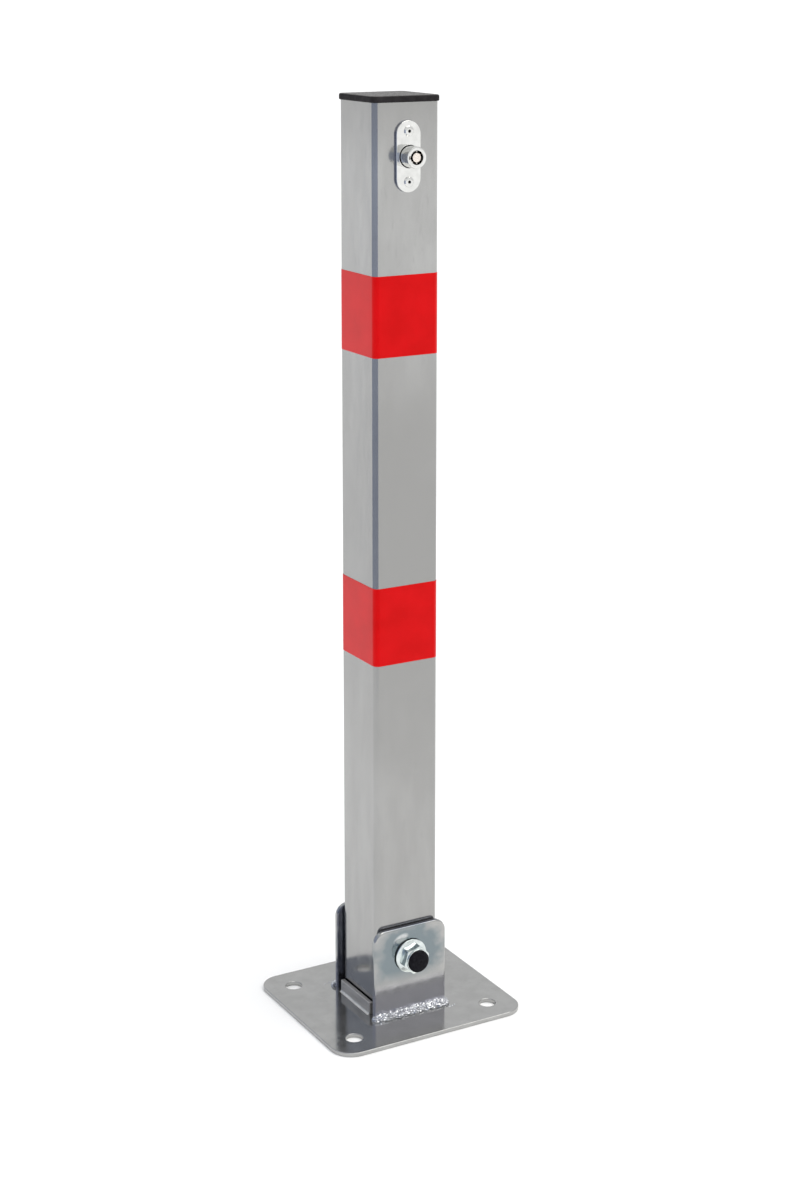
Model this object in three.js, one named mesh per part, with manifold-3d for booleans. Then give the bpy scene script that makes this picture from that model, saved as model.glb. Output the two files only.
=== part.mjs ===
// A fold-down parking post: a square steel post that turns on a bolt between two ears welded to an
// anchored base plate. A push cylinder near its top drives a rod down inside the post, and a shoe on
// the rod's end drops between two stop bars on the plate, so that the post can't be folded.
//
// Millimetres. The origin is the centre of the base plate's underside. +Z is up, the lock and the
// pivot nut face -Y, and the post folds towards -X. The post stands upright and is unlocked: the
// plunger is out, and the shoe is up inside the post.

import * as THREE from 'three';
import { mergeVertices } from 'three/addons/utils/BufferGeometryUtils.js';
import Module from 'manifold-3d';

const wasm = await Module();
wasm.setup();

// ---------------------------------------------------------------- driving dimensions

const PLATE = { width: 150, depth: 135, thickness: 3, cornerRadius: 16 };
const ANCHOR = { pitchX: 109, pitchY: 93, radius: 6 };
const PIVOT_Z = 45.5;

const TUBE = { side: 50, wall: 2, cornerRadius: 4, bottom: 13, top: 648.4 };
const TUBE_FACE = TUBE.side / 2;
const TUBE_INSIDE = TUBE_FACE - TUBE.wall;

const EAR = { width: 58, thickness: 4, inner: 26, top: 67.5, cornerRadius: 9, holeRadius: 6.25 };
const EAR_OUTER = EAR.inner + EAR.thickness;
const WELD = { width: 6.2, height: 4.2, length: 63 };
const STOP = { inner: 25.6, thickness: 3.1, length: 43, height: 9 };

const BOLT = { radius: 6, headAcross: 18, headHeight: 7.5, threadEnd: -38.5 };
const WASHER = { radius: 12, hole: 6.5, thickness: 2.5 };
const NUT = { across: 18, hexEnd: 10, collarRadius: 8.6, end: 11.4, bore: 6.1 };
const FLANGE = { radius: 12.3, height: 2.6, edge: 0.8, bevel: 0.4, run: 2.7 };
const PLUG = { radius: 8, rim: 1.4, dome: 1.2, stemRadius: 5.8, stem: 2.4 };
const SPACER = { radius: 12, hole: 6.3, thickness: 0.6 };
const SLEEVE = { outer: 8, inner: 6.1, seat: 8.15 };

const CAP = { overhang: 1.2, rim: 4.4, skirt: 14, skirtWall: 2, fit: 0.2 };
const BAND = { thickness: 0.2, gap: 0.05, upper: [477.6, 533.1], lower: [261.5, 317] };

const LOCK_Z = 612.6;
const LOCK_PLATE = { width: 18.6, height: 48, thickness: 2 };
const COLLAR = { radius: 8.2, height: 1 };
const BARREL = { radius: 8.8, bore: 7.4, seat: 9, end: -3, endWall: 2, stemHole: 3.8 };
const RIVET = { pitch: 33.8, headRadius: 3.5, head: 1.2, rim: 0.3, mandrel: 1 };
const RIVET_TAIL = { shank: 2, hole: 2.1, bulb: 3, length: 3 };
const PLUNGER = { radius: 7.25, front: -38, back: -20, stem: 3.5, chamfer: 0.5 };
const TRAVEL = 10;
const KEYWAY = { outer: 4.8, inner: 3.1, depth: 7, notchWidth: 2, notchReach: 6.1, notchDepth: 3 };
const CORE = { radius: 4.7, face: 0.2, back: -27, boreEnd: -24 };
const CAM = { radius: 4.6, flat: 3.2, thickness: 2, gap: 0.3 };

const ROD = { x: 15, radius: 4, bottom: 16, top: 602 };
const ROD_BORE = 4.1;
const WEDGE = { left: -8, right: 21, front: -6, back: 16, bottom: 590, step: 602.2, stepFront: -2 };
const SLOPE = { noseLead: 2, gap: 0.42 };
const SHOE = { halfWidth: 22, halfDepth: 14, height: 12, chamfer: 2, clearance: 2 };
const SHOE_BOTTOM = PLATE.thickness + SHOE.clearance + TRAVEL;
const SHOE_TOP = SHOE_BOTTOM + SHOE.height;
const PIN = { radius: 1.5, bore: 1.65, upperZ: 596, lowerZ: 21 };
const GUIDE = { thickness: 4, gap: 0.2, bore: 4.25, lowerZ: 80, upperZ: 566 };
const LOCK_SPRING = { radius: 5.3, wire: 0.5, turns: 5 };
const ROD_SPRING = { radius: 5.6, wire: 0.6, turns: 6 };
const SPRING_GAP = 0.3;

const FINE = 40;
const MEDIUM = 28;
const COARSE = 20;

// ---------------------------------------------------------------- materials

const finish = (color, roughness, metalness) =>
  new THREE.MeshStandardMaterial({ color, roughness, metalness });

const silverPaint = finish(0xb4b4b1, 0.28, 0.55);
const zinc = finish(0xc6d2d4, 0.25, 1);
const weldMetal = finish(0xb9bcc4, 0.35, 0.9);
const lockChrome = finish(0xe0e0dc, 0.12, 1);
const redFilm = finish(0xdb1419, 0.3, 0);
const blackPlastic = finish(0x33322f, 0.4, 0);
const innerSteel = finish(0x8b8d90, 0.45, 0.9);
const springSteel = finish(0x9a9da2, 0.3, 1);
const nylon = finish(0xe6e3da, 0.5, 0);

// ---------------------------------------------------------------- solids and shapes

/** A closed three.js geometry as a solid that can be cut and joined. */
function toSolid(geometry) {
  const bare = geometry.index ? geometry.toNonIndexed() : geometry.clone();
  Object.keys(bare.attributes)
    .filter((name) => name !== 'position')
    .forEach((name) => bare.deleteAttribute(name));
  const merged = mergeVertices(bare, 1e-4);
  const corners = [];
  for (let i = 0; i < merged.index.count; i += 3) {
    const triangle = [0, 1, 2].map((step) => merged.index.getX(i + step));
    if (new Set(triangle).size === 3) corners.push(...triangle);
  }
  return new wasm.Manifold(new wasm.Mesh({
    numProp: 3,
    vertProperties: merged.attributes.position.array,
    triVerts: new Uint32Array(corners),
  }));
}

function fromSolid(solid) {
  const mesh = solid.getMesh();
  const geometry = new THREE.BufferGeometry();
  geometry.setAttribute('position', new THREE.BufferAttribute(mesh.vertProperties, 3));
  geometry.setIndex(new THREE.BufferAttribute(mesh.triVerts, 1));
  return geometry;
}

const cut = (body, ...tools) =>
  fromSolid(tools.reduce((left, tool) => left.subtract(toSolid(tool)), toSolid(body)));

const join = (...pieces) =>
  fromSolid(pieces.map(toSolid).reduce((all, piece) => all.add(piece)));

const common = (first, second) => fromSolid(toSolid(first).intersect(toSolid(second)));

/** A box between two corners. */
function block([x0, y0, z0], [x1, y1, z1]) {
  return new THREE.BoxGeometry(x1 - x0, y1 - y0, z1 - z0)
    .translate((x0 + x1) / 2, (y0 + y1) / 2, (z0 + z1) / 2);
}

/** A cylinder along Y from y0 to y1, with its axis at x, z. */
const barY = (radius, y0, y1, x, z, sides = MEDIUM) =>
  new THREE.CylinderGeometry(radius, radius, y1 - y0, sides).translate(x, (y0 + y1) / 2, z);

/** A cylinder along Z from z0 to z1, with its axis at x, y. */
const barZ = (radius, z0, z1, x, y, sides = MEDIUM) =>
  new THREE.CylinderGeometry(radius, radius, z1 - z0, sides)
    .rotateX(Math.PI / 2)
    .translate(x, y, (z0 + z1) / 2);

/** A shape turned about the Y axis, from [radius, y] points, with its axis at x, z. */
const turnedY = (profile, x, z, sides = FINE) =>
  new THREE.LatheGeometry(profile.map(([radius, y]) => new THREE.Vector2(radius, y)), sides)
    .translate(x, 0, z);

/** A ring along Y, open in the middle. */
const ringY = (outer, inner, y0, y1, x, z, sides = FINE) =>
  turnedY([[inner, y0], [outer, y0], [outer, y1], [inner, y1], [inner, y0]], x, z, sides);

/** A rectangle centred on the origin, with rounded corners. */
function roundedRectangle(width, height, radius, Kind = THREE.Shape) {
  const x = width / 2 - radius;
  const y = height / 2 - radius;
  const outline = new Kind();
  outline.moveTo(x + radius, -y);
  outline.absarc(x, y, radius, 0, Math.PI / 2);
  outline.absarc(-x, y, radius, Math.PI / 2, Math.PI);
  outline.absarc(-x, -y, radius, Math.PI, 1.5 * Math.PI);
  outline.absarc(x, -y, radius, 1.5 * Math.PI, 2 * Math.PI);
  return outline;
}

const polygon = (points) => new THREE.Shape(points.map(([x, y]) => new THREE.Vector2(x, y)));

/** A shape drawn in the XY plane, raised from z0 to z1. */
const raised = (shape, z0, z1, curveSegments = 5) =>
  new THREE.ExtrudeGeometry(shape, { depth: z1 - z0, bevelEnabled: false, curveSegments })
    .translate(0, 0, z0);

/** A shape drawn as x, z in a plane facing Y, from y0 to y1. */
const standing = (shape, y0, y1, curveSegments = 5) =>
  new THREE.ExtrudeGeometry(shape, { depth: y1 - y0, bevelEnabled: false, curveSegments })
    .rotateX(Math.PI / 2)
    .translate(0, y1, 0);

/** A shape drawn as y, z in a plane facing X, from x0 to x1. */
const sideways = (shape, x0, x1, curveSegments = 5) =>
  new THREE.ExtrudeGeometry(shape, { depth: x1 - x0, bevelEnabled: false, curveSegments })
    .rotateX(Math.PI / 2)
    .rotateZ(Math.PI / 2)
    .translate(x0, 0, 0);

/** A square tube with rounded corners, `out` and `into` away from the post's outer face. */
function squareRing(out, into, z0, z1) {
  const outline = roundedRectangle(TUBE.side + 2 * out, TUBE.side + 2 * out, TUBE.cornerRadius + out);
  const side = TUBE.side - 2 * into;
  outline.holes.push(roundedRectangle(side, side, TUBE.cornerRadius - into, THREE.Path));
  return raised(outline, z0, z1, 9);
}

/** A hexagonal bar along Y, with its corners chamfered at one end: 1 for the +Y end, -1 for the -Y one. */
function hexagonY(across, y0, y1, chamferedEnd, z) {
  const corner = across / 2 / Math.cos(Math.PI / 6);
  const prism = new THREE.CylinderGeometry(corner, corner, y1 - y0, 6)
    .rotateY(Math.PI / 12)
    .translate(0, (y0 + y1) / 2, z);
  const edge = across / 2;
  const bevel = (corner - edge) * Math.tan(Math.PI / 6);
  const barrel = chamferedEnd > 0
    ? turnedY([[0, y0], [corner + 1, y0], [corner + 1, y1 - bevel * 2], [edge, y1], [0, y1]], 0, z)
    : turnedY([[0, y0], [edge, y0], [corner + 1, y0 + bevel * 2], [corner + 1, y1], [0, y1]], 0, z);
  return common(prism, barrel);
}

class Coil extends THREE.Curve {
  constructor(radius, start, end, turns) {
    super();
    Object.assign(this, { radius, start, end, turns });
  }

  getPoint(t, target = new THREE.Vector3()) {
    const angle = 2 * Math.PI * this.turns * t;
    const along = this.start + (this.end - this.start) * t;
    return target.set(this.radius * Math.cos(angle), this.radius * Math.sin(angle), along);
  }
}

/** A coil spring along Z, of round wire. */
function coilSpring({ radius, wire, turns }, start, end) {
  const section = new THREE.Shape().absarc(0, 0, wire, 0, 2 * Math.PI);
  return new THREE.ExtrudeGeometry(section, {
    extrudePath: new Coil(radius, start + wire, end - wire, turns),
    steps: Math.round(turns * 12),
    curveSegments: 3,
    bevelEnabled: false,
  });
}

// ---------------------------------------------------------------- base

function basePlate() {
  const outline = roundedRectangle(PLATE.width, PLATE.depth, PLATE.cornerRadius);
  [-1, 1].forEach((sideX) => [-1, 1].forEach((sideY) => {
    const hole = new THREE.Path();
    hole.absarc(sideX * ANCHOR.pitchX / 2, sideY * ANCHOR.pitchY / 2, ANCHOR.radius, 0, 2 * Math.PI, true);
    outline.holes.push(hole);
  }));
  return raised(outline, 0, PLATE.thickness, 12);
}

/** An ear standing on the plate: square at the foot, rounded at its two top corners. */
function hingeEar(side) {
  const half = EAR.width / 2;
  const { cornerRadius: radius, top } = EAR;
  const outline = new THREE.Shape();
  outline.moveTo(-half, PLATE.thickness);
  outline.lineTo(half, PLATE.thickness);
  outline.absarc(half - radius, top - radius, radius, 0, Math.PI / 2);
  outline.absarc(radius - half, top - radius, radius, Math.PI / 2, Math.PI);
  const hole = new THREE.Path();
  hole.absarc(0, PIVOT_Z, EAR.holeRadius, 0, 2 * Math.PI, true);
  outline.holes.push(hole);
  const [y0, y1] = side < 0 ? [-EAR_OUTER, -EAR.inner] : [EAR.inner, EAR_OUTER];
  return standing(outline, y0, y1, 12);
}

/** The fillet of weld along the foot of an ear, from the plate up its outer face. */
function weldBead(side) {
  const foot = PLATE.thickness;
  const outline = new THREE.Shape();
  outline.moveTo(EAR_OUTER, foot);
  outline.lineTo(EAR_OUTER + WELD.width, foot);
  outline.quadraticCurveTo(EAR_OUTER + WELD.width * 0.7, foot + WELD.height * 0.8,
    EAR_OUTER, foot + WELD.height);
  outline.closePath();
  const bead = sideways(outline, -WELD.length / 2, WELD.length / 2, 6);
  return side < 0 ? bead.rotateZ(Math.PI) : bead;
}

function stopBar(side) {
  const outer = STOP.inner + STOP.thickness;
  const [x0, x1] = side < 0 ? [-outer, -STOP.inner] : [STOP.inner, outer];
  const half = STOP.length / 2;
  return block([x0, -half, PLATE.thickness], [x1, half, PLATE.thickness + STOP.height]);
}

// ---------------------------------------------------------------- pivot

function pivotBolt() {
  const seat = EAR_OUTER + WASHER.thickness;
  const shank = barY(BOLT.radius, BOLT.threadEnd, seat + 1, 0, PIVOT_Z, FINE);
  return join(shank, hexagonY(BOLT.headAcross, seat, seat + BOLT.headHeight, 1, PIVOT_Z));
}

const pivotWasher = () =>
  ringY(WASHER.radius, WASHER.hole, EAR_OUTER, EAR_OUTER + WASHER.thickness, 0, PIVOT_Z);

/** A flange nut with a round collar beyond its hexagon. */
function pivotNut() {
  const seat = -EAR_OUTER;
  const { radius, height, edge, bevel, run } = FLANGE;
  const skirt = turnedY([
    [0, seat - height],
    [radius - bevel - run, seat - height],
    [radius - bevel, seat - edge - bevel],
    [radius, seat - edge],
    [radius, seat],
    [0, seat],
  ], 0, PIVOT_Z);
  const hexagon = hexagonY(NUT.across, seat - NUT.hexEnd, seat - height / 2, -1, PIVOT_Z);
  const collar = barY(NUT.collarRadius, seat - NUT.end, seat - NUT.hexEnd + 1, 0, PIVOT_Z, FINE);
  const bore = barY(NUT.bore, seat - NUT.end - 1, seat + 1, 0, PIVOT_Z, FINE);
  return cut(join(skirt, hexagon, collar), bore);
}

/** The plug that closes the nut's outer end, with a shallow elliptical dome. */
function nutPlug() {
  const face = -EAR_OUTER - NUT.end;
  const { radius, rim, dome, stemRadius, stem } = PLUG;
  const domePoint = (share) => [radius * share, face - rim - dome * Math.sqrt(1 - share ** 2)];
  return turnedY([
    ...[0, 0.5, 0.8, 1].map(domePoint),
    [radius, face],
    [stemRadius, face],
    [stemRadius, face + stem],
    [0, face + stem],
  ], 0, PIVOT_Z);
}

function spacerWasher(side) {
  const middle = side * (TUBE_FACE + EAR.inner) / 2;
  const half = SPACER.thickness / 2;
  return ringY(SPACER.radius, SPACER.hole, middle - half, middle + half, 0, PIVOT_Z);
}

const pivotSleeve = () =>
  ringY(SLEEVE.outer, SLEEVE.inner, -TUBE_FACE, TUBE_FACE, 0, PIVOT_Z);

// ---------------------------------------------------------------- post

function postTube() {
  const beyond = TUBE_FACE + 1;
  return cut(
    squareRing(0, TUBE.wall, TUBE.bottom, TUBE.top),
    barY(SLEEVE.seat, -beyond, beyond, 0, PIVOT_Z, FINE),
    barY(BARREL.seat, -beyond, 0, 0, LOCK_Z, FINE),
    barY(RIVET_TAIL.hole, -beyond, 0, 0, LOCK_Z + RIVET.pitch / 2, COARSE),
    barY(RIVET_TAIL.hole, -beyond, 0, 0, LOCK_Z - RIVET.pitch / 2, COARSE),
  );
}

/** A rimmed cap with a hollow square skirt that plugs the post's top. */
function topCap() {
  const side = TUBE.side + 2 * CAP.overhang;
  const lid = raised(roundedRectangle(side, side, TUBE.cornerRadius + CAP.overhang),
    TUBE.top, TUBE.top + CAP.rim);
  const plugSide = 2 * (TUBE_INSIDE - CAP.fit);
  const skirt = raised(roundedRectangle(plugSide, plugSide, TUBE.cornerRadius - TUBE.wall),
    TUBE.top - CAP.skirt, TUBE.top + 1);
  const inside = plugSide / 2 - CAP.skirtWall;
  const hollow = block([-inside, -inside, TUBE.top - CAP.skirt - 1], [inside, inside, TUBE.top]);
  return cut(join(lid, skirt), hollow);
}

const band = ([z0, z1]) => squareRing(BAND.gap + BAND.thickness, -BAND.gap, z0, z1);

/** A plate across the inside of the post with a hole for the rod. */
function rodGuide(z) {
  const side = 2 * (TUBE_INSIDE - GUIDE.gap);
  const plate = raised(roundedRectangle(side, side, TUBE.cornerRadius - TUBE.wall), z, z + GUIDE.thickness);
  return cut(plate, barZ(GUIDE.bore, z - 1, z + GUIDE.thickness + 1, ROD.x, 0));
}

// ---------------------------------------------------------------- lock

/** The lock's face plate, collar and barrel, bored for the plunger. */
function lockHousing() {
  const { width, height, thickness } = LOCK_PLATE;
  const face = -TUBE_FACE - thickness;
  const plate = standing(roundedRectangle(width, height, width / 2), face, -TUBE_FACE, 12)
    .translate(0, 0, LOCK_Z);
  const collar = barY(COLLAR.radius, face - COLLAR.height, face + 1, 0, LOCK_Z, FINE);
  const barrel = barY(BARREL.radius, face + 1, BARREL.end, 0, LOCK_Z, FINE);
  return cut(
    join(plate, collar, barrel),
    barY(BARREL.bore, face - COLLAR.height - 1, BARREL.end - BARREL.endWall, 0, LOCK_Z, FINE),
    barY(BARREL.stemHole, -TUBE_FACE, BARREL.end + 1, 0, LOCK_Z),
    barY(RIVET_TAIL.hole, face - 1, 0, 0, LOCK_Z + RIVET.pitch / 2, COARSE),
    barY(RIVET_TAIL.hole, face - 1, 0, 0, LOCK_Z - RIVET.pitch / 2, COARSE),
  );
}

/** A blind rivet: a low dome outside, an open mandrel hole, and a bulb behind the post's wall. */
function lockRivet(z) {
  const seat = -TUBE_FACE - LOCK_PLATE.thickness;
  const wallInside = -TUBE_INSIDE + 0.05;
  const { headRadius, head, rim, mandrel } = RIVET;
  const { shank, bulb, length } = RIVET_TAIL;
  const domeHeight = (radius) => rim + (head - rim) * Math.sqrt(1 - (radius / headRadius) ** 2);
  return turnedY([
    ...[mandrel, headRadius * 0.6, headRadius].map((radius) => [radius, seat - domeHeight(radius)]),
    [headRadius, seat],
    [shank, seat],
    [shank, wallInside],
    [bulb, wallInside],
    [bulb, wallInside + length],
    [mandrel, wallInside + length],
    [mandrel, seat - domeHeight(mandrel)],
  ], 0, z, COARSE);
}

/** The sliding cylinder: a bored head for the key, and a stem whose end is cut at 45 degrees. */
function lockPlunger() {
  const { radius, front, back, stem, chamfer } = PLUNGER;
  const head = turnedY([
    [0, front],
    [radius - chamfer, front],
    [radius, front + chamfer],
    [radius, back],
    [0, back],
  ], 0, LOCK_Z);
  const noseEnd = SLOPE.noseLead + stem;
  const rod = barY(stem, back - 1, noseEnd + 1, 0, LOCK_Z);
  const below = SLOPE.noseLead - 2 * stem;
  const offcut = sideways(polygon([
    [below, LOCK_Z - 2 * stem],
    [noseEnd + stem, LOCK_Z - 2 * stem],
    [noseEnd + stem, LOCK_Z + 2 * stem],
  ]), -2 * stem, 2 * stem);
  const { outer, notchWidth, notchReach, notchDepth } = KEYWAY;
  const notch = block(
    [-notchReach, front - 1, LOCK_Z - notchWidth / 2],
    [0, front + notchDepth, LOCK_Z + notchWidth / 2],
  );
  return cut(
    join(head, rod),
    offcut,
    barY(outer, front - 1, CORE.boreEnd, 0, LOCK_Z),
    notch,
  );
}

/** The part of the lock that the key turns, with a post in the middle of the round keyway. */
function lockCore() {
  const { front } = PLUNGER;
  const { inner, depth } = KEYWAY;
  return turnedY([
    [0, front + CORE.face],
    [inner - 0.4, front + CORE.face],
    [inner, front + CORE.face + 0.4],
    [inner, front + depth],
    [CORE.radius, front + depth],
    [CORE.radius, CORE.back],
    [0, CORE.back],
  ], 0, LOCK_Z, MEDIUM);
}

/** The flatted disc behind the core. */
function lockCam() {
  const y0 = CORE.back + CAM.gap;
  const y1 = y0 + CAM.thickness;
  const disc = barY(CAM.radius, y0, y1, 0, LOCK_Z);
  const flat = block(
    [-CAM.radius, y0 - 1, LOCK_Z + CAM.flat],
    [CAM.radius, y1 + 1, LOCK_Z + CAM.radius + 1],
  );
  return cut(disc, flat);
}

/** The spring behind the plunger's head, round its stem. */
const lockSpring = () =>
  coilSpring(LOCK_SPRING, 0, BARREL.end - BARREL.endWall - PLUNGER.back - 2 * SPRING_GAP)
    .rotateX(-Math.PI / 2)
    .translate(0, PLUNGER.back + SPRING_GAP, LOCK_Z);

// ---------------------------------------------------------------- latch

const latchRod = () => cut(
  barZ(ROD.radius, ROD.bottom, ROD.top, ROD.x, 0),
  barY(PIN.bore, -ROD.radius - 1, ROD.radius + 1, ROD.x, PIN.upperZ, COARSE),
  barY(PIN.bore, -ROD.radius - 1, ROD.radius + 1, ROD.x, PIN.lowerZ, COARSE),
);

/** The block on the rod's top. Its 45-degree face lies just under the plunger's nose. */
function latchWedge() {
  const { left, right, front, back, bottom, step, stepFront } = WEDGE;
  const slopeZ = (y) => LOCK_Z + y - SLOPE.noseLead - SLOPE.gap;
  const profile = polygon([
    [front, bottom],
    [back, bottom],
    [back, slopeZ(back)],
    [stepFront, slopeZ(stepFront)],
    [stepFront, step],
    [front, step],
  ]);
  return cut(
    sideways(profile, left, right),
    barZ(ROD_BORE, bottom - 1, ROD.top + 0.2, ROD.x, 0),
    barY(PIN.bore, front - 1, back + 1, ROD.x, PIN.upperZ, COARSE),
  );
}

/** The block on the rod's lower end that drops between the stop bars. */
function latchShoe() {
  const { halfWidth, halfDepth, chamfer } = SHOE;
  const profile = polygon([
    [-halfWidth + chamfer, SHOE_BOTTOM],
    [halfWidth - chamfer, SHOE_BOTTOM],
    [halfWidth, SHOE_BOTTOM + chamfer],
    [halfWidth, SHOE_TOP],
    [-halfWidth, SHOE_TOP],
    [-halfWidth, SHOE_BOTTOM + chamfer],
  ]);
  return cut(
    standing(profile, -halfDepth, halfDepth),
    barZ(ROD_BORE, SHOE_BOTTOM - 1, SHOE_TOP + 1, ROD.x, 0),
    barY(PIN.bore, -halfDepth - 1, halfDepth + 1, ROD.x, PIN.lowerZ, COARSE),
  );
}

const crossPin = (y0, y1, z) => barY(PIN.radius, y0, y1, ROD.x, z, COARSE);

const rodSpring = () =>
  coilSpring(ROD_SPRING, GUIDE.upperZ + GUIDE.thickness + SPRING_GAP, WEDGE.bottom - SPRING_GAP)
    .translate(ROD.x, 0, 0);

// ---------------------------------------------------------------- assembly

function assemble(pieces) {
  const group = new THREE.Group();
  Object.entries(pieces).forEach(([name, [geometry, material]]) => {
    const mesh = new THREE.Mesh(geometry, material);
    mesh.name = name;
    group.add(mesh);
  });
  return group;
}

const base = assemble({
  base_plate: [basePlate(), silverPaint],
  hinge_ear_front: [hingeEar(-1), silverPaint],
  hinge_ear_rear: [hingeEar(1), silverPaint],
  weld_bead_front: [weldBead(-1), weldMetal],
  weld_bead_rear: [weldBead(1), weldMetal],
  stop_bar_left: [stopBar(-1), silverPaint],
  stop_bar_right: [stopBar(1), silverPaint],
  pivot_bolt: [pivotBolt(), zinc],
  pivot_washer: [pivotWasher(), zinc],
  pivot_nut: [pivotNut(), zinc],
  pivot_nut_plug: [nutPlug(), blackPlastic],
  spacer_washer_front: [spacerWasher(-1), nylon],
  spacer_washer_rear: [spacerWasher(1), nylon],
});

const post = assemble({
  post_tube: [postTube(), silverPaint],
  pivot_sleeve: [pivotSleeve(), innerSteel],
  top_cap: [topCap(), blackPlastic],
  band_upper: [band(BAND.upper), redFilm],
  band_lower: [band(BAND.lower), redFilm],
  rod_guide_upper: [rodGuide(GUIDE.upperZ), innerSteel],
  rod_guide_lower: [rodGuide(GUIDE.lowerZ), innerSteel],
  lock_housing: [lockHousing(), lockChrome],
  lock_rivet_upper: [lockRivet(LOCK_Z + RIVET.pitch / 2), zinc],
  lock_rivet_lower: [lockRivet(LOCK_Z - RIVET.pitch / 2), zinc],
  lock_spring: [lockSpring(), springSteel],
  rod_return_spring: [rodSpring(), springSteel],
});

const plunger = assemble({ lock_plunger: [lockPlunger(), lockChrome] });

const core = assemble({
  lock_core: [lockCore(), lockChrome],
  lock_cam: [lockCam(), innerSteel],
});

const latch = assemble({
  latch_rod: [latchRod(), innerSteel],
  latch_wedge: [latchWedge(), innerSteel],
  latch_shoe: [latchShoe(), innerSteel],
  latch_pin_upper: [crossPin(WEDGE.front, WEDGE.back, PIN.upperZ), springSteel],
  latch_pin_lower: [crossPin(-SHOE.halfDepth, SHOE.halfDepth, PIN.lowerZ), springSteel],
});

const bollard = new THREE.Group();
bollard.add(base, post, plunger, core, latch);

export default bollard;
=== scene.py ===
import math
import random

import bmesh
import bpy
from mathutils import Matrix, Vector, noise


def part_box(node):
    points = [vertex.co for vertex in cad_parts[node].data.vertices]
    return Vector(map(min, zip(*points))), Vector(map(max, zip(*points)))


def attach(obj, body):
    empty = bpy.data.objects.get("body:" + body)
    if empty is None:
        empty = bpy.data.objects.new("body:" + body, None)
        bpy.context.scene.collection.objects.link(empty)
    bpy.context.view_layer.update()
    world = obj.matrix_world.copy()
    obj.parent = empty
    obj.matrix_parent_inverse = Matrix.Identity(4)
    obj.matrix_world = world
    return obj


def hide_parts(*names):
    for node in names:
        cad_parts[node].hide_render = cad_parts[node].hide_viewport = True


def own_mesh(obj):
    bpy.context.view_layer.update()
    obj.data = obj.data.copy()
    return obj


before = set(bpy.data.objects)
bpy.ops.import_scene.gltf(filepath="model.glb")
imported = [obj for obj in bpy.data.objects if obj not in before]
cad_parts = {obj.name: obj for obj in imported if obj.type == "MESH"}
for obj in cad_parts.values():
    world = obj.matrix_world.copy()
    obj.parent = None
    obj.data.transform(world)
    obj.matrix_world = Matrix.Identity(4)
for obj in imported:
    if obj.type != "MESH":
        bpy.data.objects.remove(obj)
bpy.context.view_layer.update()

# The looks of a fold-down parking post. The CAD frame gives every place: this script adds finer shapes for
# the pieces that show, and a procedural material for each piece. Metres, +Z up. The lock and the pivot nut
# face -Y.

scene = bpy.context.scene

# ---------------------------------------------------------------- sizes

MM = 0.001
TURN = 2 * math.pi
PLATE_CORNER = 16 * MM
ANCHOR_PITCH = Vector((109 * MM, 93 * MM))
ANCHOR_RADIUS = 6 * MM
EAR_CORNER = 9 * MM
EAR_HOLE = 6.25 * MM
TUBE_CORNER = 4 * MM

plate_low, plate_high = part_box("base_plate")
ear_low, ear_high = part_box("hinge_ear_front")
nut_low, nut_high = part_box("pivot_nut")
tube_low, tube_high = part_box("post_tube")
housing_low, housing_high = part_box("lock_housing")
plunger_low, plunger_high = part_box("lock_plunger")
PIVOT = (nut_low + nut_high) / 2
LOCK = (housing_low + housing_high) / 2
ACROSS_FLATS = 18 * MM
LOCK_FACE = tube_low.y - 2 * MM
LOCK_END_WALL = 2 * MM

# ---------------------------------------------------------------- shapes


class Shape:
    """The points and faces of one piece, which may hold several closed surfaces."""

    def __init__(self):
        self.points = []
        self.faces = []

    def rings(self, rows, capped=False):
        """Joins closed rings of points in order. A capped surface gets a flat face at each end."""
        first = len(self.points)
        count = len(rows[0])
        for row in rows:
            self.points.extend(tuple(point) for point in row)
        for start in range(first, first + count * (len(rows) - 1), count):
            for column in range(count):
                after = (column + 1) % count
                near, far = start + column, start + after
                self.faces.append((near, far, far + count, near + count))
        if capped:
            last = first + count * (len(rows) - 1)
            self.faces.append(tuple(range(first, first + count)))
            self.faces.append(tuple(range(last, last + count)))

    def loop_of_rings(self, rows):
        """Rings that join up again, last to first."""
        self.rings(rows + [rows[0]])

    def object(self, name):
        """The piece as a Blender object, with coincident points merged and its faces turned outwards."""
        mesh = bpy.data.meshes.new(name)
        mesh.from_pydata(self.points, [], self.faces)
        work = bmesh.new()
        work.from_mesh(mesh)
        bmesh.ops.remove_doubles(work, verts=work.verts, dist=1e-7)
        bmesh.ops.dissolve_degenerate(work, edges=work.edges, dist=1e-8)
        bmesh.ops.recalc_face_normals(work, faces=work.faces)
        work.to_mesh(mesh)
        work.free()
        piece = bpy.data.objects.new(name, mesh)
        scene.collection.objects.link(piece)
        return piece


def softened(profile, radius, steps=3):
    """A profile whose corners are rounded off, by at most the radius."""
    points = [Vector(point) for point in profile]
    result = [points[0]]
    for before, corner, after in zip(points, points[1:], points[2:]):
        back, forward = before - corner, after - corner
        reach = min(radius, back.length / 2.5, forward.length / 2.5)
        if back.angle(forward) > math.radians(165):
            result.append(corner)
            continue
        start = corner + back.normalized() * reach
        end = corner + forward.normalized() * reach
        for step in range(steps + 1):
            share = step / steps
            result.append(start * (1 - share) ** 2 + corner * 2 * share * (1 - share) + end * share ** 2)
    result.append(points[-1])
    return result


def even_angles(count):
    return [TURN * step / count for step in range(count)]


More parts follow.
